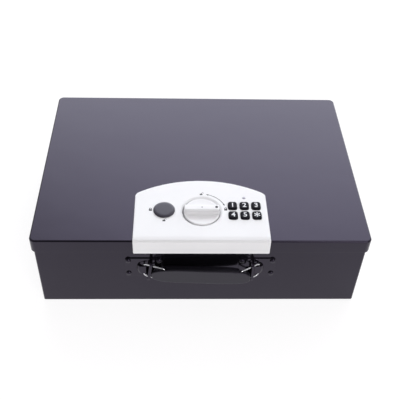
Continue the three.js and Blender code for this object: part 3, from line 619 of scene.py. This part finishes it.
def control_panel():
    outline = panel_outline()
    edge = quarter(0.95, 6)                      # (inset, drop)
    rings = [offset(outline, e) for e, d in edge]
    rings.append(offset(outline, 1.6))
    drops = [d for e, d in edge] + [0.0]
    # holes, each from its wall outwards, with a small round edge
    lip = quarter(0.45, 4)
    well = (KNOB[0] - 0.3, KNOB[1] - 0.12)
    plans = [circle(WELL_R, 120, *well), circle(9.0, 56, *LOCK), circle(1.75, 28, *LED)]
    plans += [rr((KEY_W + 0.7) / 2, (KEY_D + 0.7) / 2, 2.9, 8, x, y) for x in KEY_X for y in KEY_Y]
    holes = [[offset(p, -e) for e, d in lip] for p in plans]
    hole_drops = [[d for e, d in lip] for p in plans]
    slope = [(0.0, 1.9), (0.05, 1.72), (0.2, 1.5), (0.5, 1.27), (1.1, 0.85), (1.7, 0.42), (2.1, 0.16), (2.4, 0.04), (2.75, 0.0)]
    holes[0] = [circle(WELL_R + e, 120, *well) for e, d in slope]
    hole_drops[0] = [d for e, d in slope]

    # lines across the bends, from ring to ring
    lines = []
    m = len(outline)
    for s in SECTION[1:-1]:
        hit = [k for k, p in enumerate(outline) if abs(p[1] + s[4]) < 1e-6]
        if len(hit) != 2:
            continue
        for k in hit:
            lines += [((0, r, k), (0, r + 1, k)) for r in range(len(rings) - 1)]
        lines.append(((0, len(rings) - 1, hit[0]), (0, len(rings) - 1, hit[1])))

    def top(si, a, b):
        if si < 0:
            return on_panel(a, -b)
        if si == 0:
            x, y = rings[a][b]
            return on_panel(x, -outline[b][1] if abs(abs(outline[b][0]) - PANEL_HW) < 1e-6 and -outline[b][1] > 129 and -outline[b][1] < V_FOOT - 1.4 else -y, drops[a])
        x, y = holes[si - 1][a][b]
        return on_panel(x, -y, hole_drops[si - 1][a])

    parts = [meshed(rings, holes, None, top, lines)]
    wide = [rings[0]]
    low_plans = [circle(23.3, 120, *well)] + plans[1:]

    def low(si, a, b):
        if si < 0:
            return under_panel(a, -b)
        x, y = (wide if si == 0 else [low_plans[si - 1]])[0][b]
        return under_panel(x, -y)

    low_lines = []
    for s in SECTION[1:-1]:
        hit = [k for k, p in enumerate(outline) if abs(p[1] + s[4]) < 1e-6]
        if len(hit) == 2:
            low_lines.append(((0, 0, hit[0]), (0, 0, hit[1])))
    parts.append(meshed(wide, [[p] for p in low_plans], None, low, low_lines))
    # side wall all round, walls of the holes, and the knob's cup
    a = [on_panel(x, -y, 0.95) for x, y in outline]
    b = [under_panel(x, -y) for x, y in outline]
    parts.append(loft([b, a], False, False))
    for p in plans[1:]:
        parts.append(loft([[on_panel(x, -y, 0.45) for x, y in p], [(x, y, H + 0.3) for x, y in p]], False, False))
    cup = [(WELL_R, PANEL_TOP - 1.9), (WELL_R, 101.6), (21.65, 101.0), (21.2, 100.6), (20.6, 100.5), (5.3, 100.5), (5.0, 100.2), (5.0, 99.0),
           (22.3, 99.0), (23.0, 99.3), (23.3, 100.0), (23.3, H + 0.3)]
    parts.append(loft([[(well[0] + r * math.cos(2 * math.pi * i / 120), well[1] + r * math.sin(2 * math.pi * i / 120), z) for i in range(120)] for r, z in cup], False, False))
    v, f = merged(*parts)
    # bosses for the screws and ribs for the keypad board, moulded on below
    for x, y in ((-66, -75), (-66, -112), (66, -114.5)):
        v, f = merged((v, f), revolve([(1.1, H + 0.2), (1.1, 103.3), (1.3, 103.0), (2.0, 103.0), (2.3, 103.3), (2.3, H + 0.5)], 28, x, y))
    for x in (26.8, 72.0):
        v, f = merged((v, f), slab(rr(0.6, 19.75, 0.3, 3, x, -87.25), 101.9, H + 0.5, 0.1, 2, 0.3))
    ob = raw((v, f), "panel")
    return stand(ob, "panel_moulding", "control_panel", sharp=38)


# ---- knob: dished disc with a waisted grip bar
def knob():
    R = 20.7
    prof = [(0, 101.0), (19.6, 101.0), (20.3, 101.25), (20.7, 102.0), (20.7, 108.0)]
    prof += [(20.7 - 0.95 * (1 - math.cos(rad(a))), 108.28 + 0.95 * math.sin(rad(a))) for a in (15, 30, 45, 60, 75, 90)]
    prof += [(19.3, 109.2), (18.8, 109.15), (17.6, 108.98), (16.0, 108.8), (14.0, 108.64), (11.0, 108.48), (8.0, 108.38), (4.0, 108.32), (0, 108.3)]
    disc = revolve(prof, 128, *KNOB)
    sec = [(7.6, 104.0), (7.4, 108.38), (6.9, 108.45), (6.3, 108.62), (5.95, 108.95), (5.75, 109.5), (5.6, 110.7), (5.48, 111.25), (5.3, 111.5), (5.0, 111.6),
           (4.75, 111.68), (4.58, 111.85), (4.5, 112.15), (4.1, 114.9), (3.95, 115.5), (3.7, 115.85), (3.3, 116.0), (1.6, 116.0)]
    line = [(y, z) for y, z in sec] + [(-y, z) for y, z in reversed(sec)]
    rings = []
    ends = quarter(1.1, 5)
    steps = [(-1, e, d) for e, d in ends] + [(-0.6, None, 0), (-0.2, None, 0), (0.2, None, 0), (0.6, None, 0)] + [(1, e, d) for e, d in reversed(ends)]
    for s, e, d in steps:
        ring = []
        for y, z in line:
            half = math.sqrt(20.1 ** 2 - y * y)
            x = s * half if e is None else s * (half - e)
            ring.append((KNOB[0] + x, KNOB[1] + y, min(z, 116.0 - d)))
        rings.append(ring)
    bar = loft(rings)
    hub = revolve([(4.2, 101.0), (4.2, 101.6), (5.2, 101.6)], 24, *KNOB)
    ob = raw(disc, "knob")
    boolean(ob, raw(bar), "UNION")
    stand(ob, "knob_moulding", "knob", sharp=40)
    dot = revolve([(0, 115.9), (1.7, 115.9), (1.7, 116.0), (0, 116.0)], 32, KNOB[0] + 16.9, KNOB[1] + 0.2)
    mid = revolve([(0, 115.9), (0.8, 115.9), (0.8, 116.0), (0, 116.0)], 24, KNOB[0] + 0.3, KNOB[1])
    piece("knob_pointer_dot", *turned(dot, lambda x, y, z: (x, y, z + 0.012)), BODY_OF["knob"], DARK_INK, "panel_plastic", sharp=30)
    # a flat grey disc laid on the middle of the knob's bar, where a small dark dot shows
    piece("knob_centre_dot", *turned(mid, lambda x, y, z: (x, y, z + 0.012)), BODY_OF["knob"], GREY_DOT, "panel_plastic", sharp=30)


# ---- round cover of the key lock
def plug():
    prof = [(0, 107.3), (8.4, 107.3), (8.7, 107.5), (8.7, 109.75), (12.0, 109.75), (12.3, 109.83), (12.4, 110.0), (12.4, 110.3),
            (12.25, 110.65), (11.9, 110.98), (11.35, 111.28), (10.65, 111.53), (9.8, 111.7), (8.8, 111.79), (6.0, 111.83), (0, 111.85)]
    stand(revolve(prof, 96, *LOCK), "lock_cover", "override_plug", PLUG, sharp=50)


# ---- keys and their printed signs
def printed(name, part, body, mat, slot):
    return piece(name, part[0], part[1], body, mat, slot, sharp=30)


def sign(text, size, bold, x, y, z, name, body, sx=1.0):
    cu = bpy.data.curves.new(name, "FONT")
    cu.body, cu.size, cu.offset, cu.extrude, cu.resolution_u = text, size * MM, bold * MM, 0.02 * MM, 6
    ob = bpy.data.objects.new(name, cu)
    bpy.context.scene.collection.objects.link(ob)
    dg = bpy.context.evaluated_depsgraph_get()
    dg.update()
    me = bpy.data.meshes.new_from_object(ob.evaluated_get(dg))
    bpy.data.objects.remove(ob)
    bpy.data.curves.remove(cu)
    xs, ys = [v.co.x for v in me.vertices], [v.co.y for v in me.vertices]
    cx, cy = (min(xs) + max(xs)) / 2, (min(ys) + max(ys)) / 2
    for v in me.vertices:
        v.co = ((v.co.x - cx) * sx + x * MM, v.co.y - cy + (y + SH) * MM, v.co.z + z * MM)
    me.name = name
    out = bpy.data.objects.new(name, me)
    bpy.context.scene.collection.objects.link(out)
    return finish_piece(out, body, WHITE_INK, sharp=30)


def keys():
    names = {(0, 0): "key_1", (1, 0): "key_2", (2, 0): "key_3", (0, 1): "key_4", (1, 1): "key_5", (2, 1): "key_star"}
    for (i, j), node in names.items():
        x, y = KEY_X[i], KEY_Y[j]
        plan = rr(KEY_W / 2, KEY_D / 2, 2.6, 9, x, y)
        path = [(0.0, 103.4), (0.0, 110.4), (0.05, 110.8), (0.18, 111.12), (0.42, 111.4), (0.75, 111.58), (1.15, 111.7), (1.6, 111.78), (2.1, 111.8)]
        stand(loft([flat(offset(plan, e), z) for e, z in path]), "rubber_" + node, node, KEYS, sharp=60, weighted=True)
        body = BODY_OF[node]
        if node == "key_star":
            arms = []
            for k in range(6):
                a = rad(90 + 60 * k)
                c, s = math.cos(a), math.sin(a)
                ln = 3.6
                quad = [(0.0, -0.42), (ln, -0.72), (ln, 0.72), (0.0, 0.42)]
                arms.append(slab([(x + u * c - w * s, y + u * s + w * c) for u, w in quad], KEY_TOP, KEY_TOP + 0.04))
            printed("sign_star", merged(*arms), body, WHITE_INK, "key_rubber")
        else:
            sign(node[-1], 9.5, 0.15, x, y, KEY_TOP + 0.02, "sign_" + node[-1], body, 1.0)


def lamp():
    prof = [(0, 101.9), (2.2, 101.9), (2.4, 102.1), (2.4, 103.2), (1.6, 103.3), (1.6, 109.3), (1.5, 109.75), (1.2, 110.05), (0.7, 110.18), (0, 110.2)]
    stand(revolve(prof, 40, *LED), "lamp_window", "led_lens", LENS, sharp=50)


# ---- printed signs on the panel
def stroke(pts, w, z0, z1):
    """Thick open line."""
    left, right = [], []
    for i, p in enumerate(pts):
        a, b = Vector(pts[max(i - 1, 0)]), Vector(pts[min(i + 1, len(pts) - 1)])
        t = (b - a).normalized()
        left.append((p[0] - t.y * w / 2, p[1] + t.x * w / 2))
        right.append((p[0] + t.y * w / 2, p[1] - t.x * w / 2))
    n = len(pts)
    verts = [(x, y, z) for z in (z0, z1) for x, y in left + right]
    faces = []
    for i in range(n - 1):
        q = (i, i + 1, n + i + 1, n + i)
        faces += [q, tuple(2 * n + k for k in reversed(q)), (i, 2 * n + i, 2 * n + i + 1, i + 1), (n + i + 1, 3 * n + i + 1, 3 * n + i, n + i)]
    faces += [(0, n, 3 * n, 2 * n), (n - 1, 3 * n - 1, 4 * n - 1, 2 * n - 1)]
    return verts, faces


def padlock(x, y, opened, k=1.0):
    z0, z1 = PANEL_TOP - 0.02, PANEL_TOP + 0.02
    body = slab(rr(1.25 * k, 0.95 * k, 0.25 * k, 4, x, y - 0.55 * k), z0, z1)
    r, cx = 0.78 * k, x
    pts = []
    if opened:
        cx = x + 1.45 * k
    cy = y + 0.95 * k
    pts.append((cx - r, y + 0.3 * k))
    pts += [(cx - r * math.cos(rad(a)), cy + r * math.sin(rad(a))) for a in range(0, 181, 20)]
    pts.append((cx + r, y + (0.75 * k if opened else 0.3 * k)))
    return merged(body, stroke(pts, (0.42 if opened else 0.62) * k, z0, z1))


def panel_prints():
    body = BODY_OF["control_panel"]
    z0, z1 = PANEL_TOP - 0.02, PANEL_TOP + 0.02
    signs = merged(padlock(-57.9, -88.4, False, 1.38), padlock(-42.2, -105.0, True, 1.25), padlock(0.6, -62.2, True, 1.25), padlock(28.4, -87.4, False, 1.38))
    printed("panel_padlocks", signs, body, DARK_INK, "panel_plastic")
    R = 28.0
    arc = [(KNOB[0] + R * math.cos(rad(a)), KNOB[1] + R * math.sin(rad(a))) for a in [75 - 53 * i / 30 for i in range(31)]]
    heads = []
    for a, d in ((78.5, 1), (18.0, -1)):
        tip = (KNOB[0] + R * math.cos(rad(a)), KNOB[1] + R * math.sin(rad(a)))
        b = a - 6.0 * d
        base = [(KNOB[0] + q * math.cos(rad(b)), KNOB[1] + q * math.sin(rad(b))) for q in (R - 1.15, R + 1.15)]
        tri = [tip, base[0], base[1]] if d > 0 else [tip, base[1], base[0]]
        heads.append(slab(tri, z0, z1))
    printed("panel_arrow", merged(stroke(arc, 0.8, z0, z1), *heads), body, DARK_INK, "panel_plastic")


# ---- carrying handle
def bracket(tag, s):
    node = "handle_bracket_" + tag
    bx, cup_x, x0, x1, half, mid, depth = BRACKETS[s]
    cut = raw(face_slab(capsule(s, 1.15, 13.1, 51.7), -4.5, 6))
    plate = raw(face_slab(rr(20.8, 15.25, 2.5, 8, s * bx, PLATE_Z), 0.3, 1.3, 0.3, 3, 0.1), "plate")
    boolean(plate, raw(face_slab(capsule(s, 0.15, 13.1, 50.7), -5.5, 0.85, 0.0, 5, 1.2)), "UNION")
    boolean(plate, cut)
    cap = raw(face_slab(capsule(s, 0, 13.1, 48), -4, 5.0, 4.0, 12), "cap")
    boolean(cap, raw(face_slab(capsule(s, 1.15, 13.1, 48), -4, 3.9, 3.2, 10)))
    boolean(cap, raw(block(*sorted((s * (cup_x + 0.6), s * 80)), FRONT - 20, FRONT - 0.8, CUP_Z - 6.8, CUP_Z + 5.2)), "INTERSECT")
    strap = raw(face_slab(rr(20.0, half, 3.0, 8, s * 57.0, mid), -5, depth, 2.2, 10), "strap")
    boolean(strap, raw(face_slab(rr(20.0 - 1.05, half - 1.05, 3.0, 8, s * 57.0, mid), -5, depth - 1.05, 1.2, 8)))
    lean = -0.134 if s < 0 else 0.0
    band = [(s * (v + lean * (z - mid)), z) for v, z in ((x0, 30), (x1, 30), (x1, 90), (x0, 90))]
    boolean(strap, raw(face_slab(band if s > 0 else band[::-1], 0.8, 20)), "INTERSECT")
    boolean(plate, cap, "UNION")
    boolean(plate, strap, "UNION")
    soften(plate, 0.18, 2, 42)
    stand(plate, "pressed_bracket_" + tag, node, PAINT_SMALL, sharp=42)
    k = 0
    for dz in (RIVET_DZ, -RIVET_DZ):
        for dx in (RIVET_DX, -RIVET_DX):
            k += 1
            prof = [(0, -4.0), (2.3, -4.0), (2.75, -3.8), (3.0, -3.3), (3.0, -1.5), (1.7, -1.5), (1.7, 1.3), (3.1, 1.3), (3.2, 1.55)]
            prof += [(3.2 * math.cos(rad(a)), 1.55 + 2.1 * math.sin(rad(a))) for a in (12, 24, 36, 48, 60, 72, 82)] + [(0, 3.65)]
            part = facing_front(revolve(prof, 32, s * (bx + dx), RIVET_Z + dz))
            stand(part, f"dome_rivet_{tag}_{k}", f"rivet_{tag}_{k}", PAINT_SMALL, sharp=45)


def wire_ring(tag, s, x_in, d_in, zc, h):
    L_, d_out, r, ro, wire = 26.0, 2.4, 2.6, 4.5, 1.0
    ang = math.asin((d_in - d_out) / L_)
    xo = x_in + L_ * math.cos(ang)

    def at(u, v):
        return Vector((s * (xo - u * math.cos(ang)), FRONT - (d_out + u * math.sin(ang)), zc + v))
    pts = []
    for cu, cv, a0, q, n in ((L_ - r, h - r, 0, r, 9), (ro, h - ro, 90, ro, 14), (ro, -h + ro, 180, ro, 14), (L_ - r, -h + r, 270, r, 9)):
        pts += [at(cu + q * math.cos(rad(a0 + 90 * i / n)), cv + q * math.sin(rad(a0 + 90 * i / n))) for i in range(n + 1)]
    axis = Vector((0, 0, 1)).cross(at(1, 0) - at(0, 0)).normalized()
    rings = []
    for i, p in enumerate(pts):
        t = (pts[(i + 1) % len(pts)] - pts[i - 1]).normalized()
        o = t.cross(axis).normalized()
        rings.append([tuple(p + o * wire * math.cos(rad(360 * k / 20)) + axis * wire * math.sin(rad(360 * k / 20))) for k in range(20)])
    stand(loft(rings, cyclic=True), "wire_ring_" + tag, "handle_ring_" + tag, CHROME, sharp=None, weighted=False)


def handle_grip():
    pts = [(0, 10.4), (14, 10.6), (28, 10.6), (36, 10.2), (44, 9.2), (50, 7.8), (53.4, 6.2), (55.2, 4.3), (55.8, 2.0)]
    full = [(-x, h) for x, h in reversed(pts[1:])] + pts
    fine = []
    for i in range(len(full) - 1):
        p0, p1, p2, p3 = (Vector(full[max(min(i + k, len(full) - 1), 0)]) for k in (-1, 0, 1, 2))
        for t in (0, 0.25, 0.5, 0.75):
            q = 0.5 * ((2 * p1) + (p2 - p0) * t + (2 * p0 - 5 * p1 + 4 * p2 - p3) * t * t + (3 * p1 - p0 - 3 * p2 + p3) * t ** 3)
            fine.append((q.x, q.y))
    fine.append(tuple(full[-1]))
    outline = [(x, -h) for x, h in fine] + [(x, h) for x, h in reversed(fine)]
    front, back = (0.95, 1.15), (1.1, 1.4)        # size and depth of the rounded edges
    rings = []
    for i in range(9):
        a = rad(90 * i / 8)
        rings.append([(x, z, 3.2 - front[1] * (1 - math.sin(a))) for x, z in offset(outline, front[0] * (1 - math.cos(a)))])
    back_rings = []
    for i in range(9):
        a = rad(90 * i / 8)
        back_rings.append([(x, z, -3.2 + back[1] * (1 - math.sin(a))) for x, z in offset(outline, back[0] * (1 - math.cos(a)))])
    rings = list(reversed(back_rings)) + rings
    drop, turn = rad(-0.9), rad(2.876)

    def put(x, z, d):
        y = -d
        x1, z1 = x * math.cos(drop) + z * math.sin(drop), -x * math.sin(drop) + z * math.cos(drop)
        return (x1 * math.cos(turn) + y * math.sin(turn), -x1 * math.sin(turn) + y * math.cos(turn) + FRONT - 12.95, z1 + 60.5)
    ob = raw(loft([[put(*p) for p in r] for r in rings]), "grip")
    # the swell on its back for the fingers
    half = [(-43.5, 7.4), (-42.6, 8.0), (-41, 8.7), (-38.8, 9.25), (-36, 9.6), (-32, 9.9), (-28, 10.1), (-14, 10.15)]
    side = half + [(-x, h) for x, h in reversed(half)]
    plan = [(x, -h) for x, h in side] + [(x, h) for x, h in reversed(side)]
    swell = []
    for i in range(9):
        a = rad(90 * i / 8)
        swell.append([put(x, z, -6.1 + 1.6 * (1 - math.sin(a))) for x, z in offset(plan, 1.3 * (1 - math.cos(a)))])
    swell = list(reversed(swell)) + [[put(x, z, 0.4) for x, z in offset(plan, 0.2)]]
    boolean(ob, raw(loft(swell)), "UNION")
    for s, (x_in, d_in, z, h) in RINGS.items():
        boolean(ob, raw(block(*sorted((s * (x_in - 1.7), s * (x_in + 1.7))), FRONT - d_in - 1.5, FRONT - d_in + 1.5, 40, 80)))
        boolean(ob, raw(block(*sorted((s * (x_in - 1.7), s * 60)), FRONT - d_in - 1.5, FRONT, z + h - 1.35, 90)))
        boolean(ob, raw(block(*sorted((s * (x_in - 1.7), s * 60)), FRONT - d_in - 1.5, FRONT, 30, z - h + 1.35)))
        boolean(ob, raw(block(*sorted((s * 54.6, s * 60)), FRONT - d_in + 0.2, FRONT, 40, 80)))
    stand(ob, "grip_moulding", "handle_grip", GRIP, sharp=40)


lid_shell()
body_shell()
control_panel()
knob()
plug()
keys()
lamp()
panel_prints()
for tag, s in (("left", -1), ("right", 1)):
    bracket(tag, s)
wire_ring("left", -1, *RINGS[-1])
wire_ring("right", 1, *RINGS[1])
handle_grip()
DONE = {"lid_shell", "body_shell", "control_panel", "knob", "override_plug", "led_lens", "handle_grip", "handle_ring_left", "handle_ring_right",
        "handle_bracket_left", "handle_bracket_right"} | {n for n in N if n.startswith("key_") or n.startswith("rivet_")}
for node in N:
    if node not in DONE:
        refine(node)

# ------------------------------------------------------------------ floor, light, camera
def stage():
    me = bpy.data.meshes.new("floor")
    s = 6.0
    me.from_pydata([(-s, -s, -0.0002), (s, -s, -0.0002), (s, s, -0.0002), (-s, s, -0.0002)], [], [(0, 1, 2, 3)])
    floor = bpy.data.objects.new("floor", me)
    bpy.context.scene.collection.objects.link(floor)
    m, nt, bs = new_mat("pale_floor")
    bs.inputs["Base Color"].default_value = (0.20, 0.20, 0.20, 1)
    bs.inputs["Roughness"].default_value = 0.9
    bs.inputs["Specular IOR Level"].default_value = 0.0
    bs.inputs["Emission Color"].default_value = (1.0, 0.995, 1.0, 1)
    bs.inputs["Emission Strength"].default_value = 0.87
    me.materials.append(m)

    world = bpy.data.worlds.new("studio")
    bpy.context.scene.world = world
    world.use_nodes = True
    nt = world.node_tree
    nt.nodes.clear()
    out = nt.nodes.new("ShaderNodeOutputWorld")
    bg = nt.nodes.new("ShaderNodeBackground")
    tc = nt.nodes.new("ShaderNodeTexCoord")
    # a dim dome, a large low light at the back, a softer one at the front right and a dark corner at the front left
    def lobe(at, lo, hi, amount):
        dot = nt.nodes.new("ShaderNodeVectorMath")
        dot.operation = "DOT_PRODUCT"
        dot.inputs[1].default_value = Vector(at).normalized()
        nt.links.new(tc.outputs["Generated"], dot.inputs[0])
        fade = nt.nodes.new("ShaderNodeMapRange")
        fade.interpolation_type = "SMOOTHSTEP"
        fade.inputs["From Min"].default_value, fade.inputs["From Max"].default_value = lo, hi
        fade.inputs["To Min"].default_value, fade.inputs["To Max"].default_value = 0.0, amount
        nt.links.new(dot.outputs["Value"], fade.inputs["Value"])
        return fade.outputs["Result"]

    def total(first, *others):
        out_value = first
        for o in others:
            m = nt.nodes.new("ShaderNodeMath")
            m.operation = "ADD"
            nt.links.new(out_value, m.inputs[0])
            if isinstance(o, float):
                m.inputs[1].default_value = o
            else:
                nt.links.new(o, m.inputs[1])
            out_value = m.outputs[0]
        return out_value

    el = rad(18.0)
    rear = lobe((0.17 * math.cos(el), 0.985 * math.cos(el), math.sin(el)), 0.69, 0.95, 3.02)
    front = lobe((0.38, -0.68, 0.62), 0.945, 0.985, 5.2)
    back = lobe((0.0, 0.8, 0.6), 0.0, 0.6, 0.22)
    shade = lobe((-0.22, -0.72, 0.66), 0.78, 0.96, -0.30)
    nt.links.new(total(front, back, shade, 0.36), bg.inputs["Strength"])
    bg.inputs["Color"].default_value = (1.0, 0.985, 1.0, 1)
    bg3 = nt.nodes.new("ShaderNodeBackground")
    bg3.inputs["Color"].default_value = (0.93, 0.98, 1.04, 1)
    nt.links.new(rear, bg3.inputs["Strength"])
    both = nt.nodes.new("ShaderNodeAddShader")
    nt.links.new(bg.outputs["Background"], both.inputs[0])
    nt.links.new(bg3.outputs["Background"], both.inputs[1])
    # plain white where the camera sees past the floor
    bg2 = nt.nodes.new("ShaderNodeBackground")
    bg2.inputs["Color"].default_value = (1, 1, 1, 1)
    bg2.inputs["Strength"].default_value = 1.0
    path = nt.nodes.new("ShaderNodeLightPath")
    mix = nt.nodes.new("ShaderNodeMixShader")
    nt.links.new(path.outputs["Is Camera Ray"], mix.inputs["Fac"])
    nt.links.new(both.outputs["Shader"], mix.inputs[1])
    nt.links.new(bg2.outputs["Background"], mix.inputs[2])
    nt.links.new(mix.outputs["Shader"], out.inputs["Surface"])

    def area(name, at, to, sx, sy, power, colour=(1, 1, 1)):
        la = bpy.data.lights.new(name, "AREA")
        la.shape, la.size, la.size_y, la.energy, la.color = "RECTANGLE", sx, sy, power, colour
        lo = bpy.data.objects.new(name, la)
        lo.location = at
        lo.rotation_euler = (Vector(to) - Vector(at)).to_track_quat("-Z", "Y").to_euler()
        bpy.context.scene.collection.objects.link(lo)
        return lo

    area("softbox_right", (1.3, 0.5, 1.3), (0, 0, 0.05), 0.8, 0.8, 2.0)

    cam = bpy.data.cameras.new("camera")
    cam.sensor_width = 36.0
    cam.lens = 60.26
    cam.clip_start, cam.clip_end = 0.01, 50
    co = bpy.data.objects.new("camera", cam)
    right, up, fwd = CAM_RIGHT, CAM_UP, CAM_FWD
    co.matrix_world = Matrix(((right.x, up.x, -fwd.x, CAM_AT.x), (right.y, up.y, -fwd.y, CAM_AT.y), (right.z, up.z, -fwd.z, CAM_AT.z), (0, 0, 0, 1)))
    bpy.context.scene.collection.objects.link(co)
    sc = bpy.context.scene
    sc.camera = co
    sc.view_settings.view_transform = "Standard"
    sc.view_settings.look = "None"
    sc.view_settings.exposure = 0.0
    sc.view_settings.gamma = 1.0


CAM_AT = Vector((-0.02858, -0.62527, 0.65120))
CAM_FWD = Vector((0.035656, 0.717359, -0.695791)).normalized()
CAM_RIGHT = Vector((0.999355, -0.022572, 0.027940)).normalized()
CAM_UP = CAM_RIGHT.cross(CAM_FWD).normalized()
stage()

bpy.context.view_layer.update()
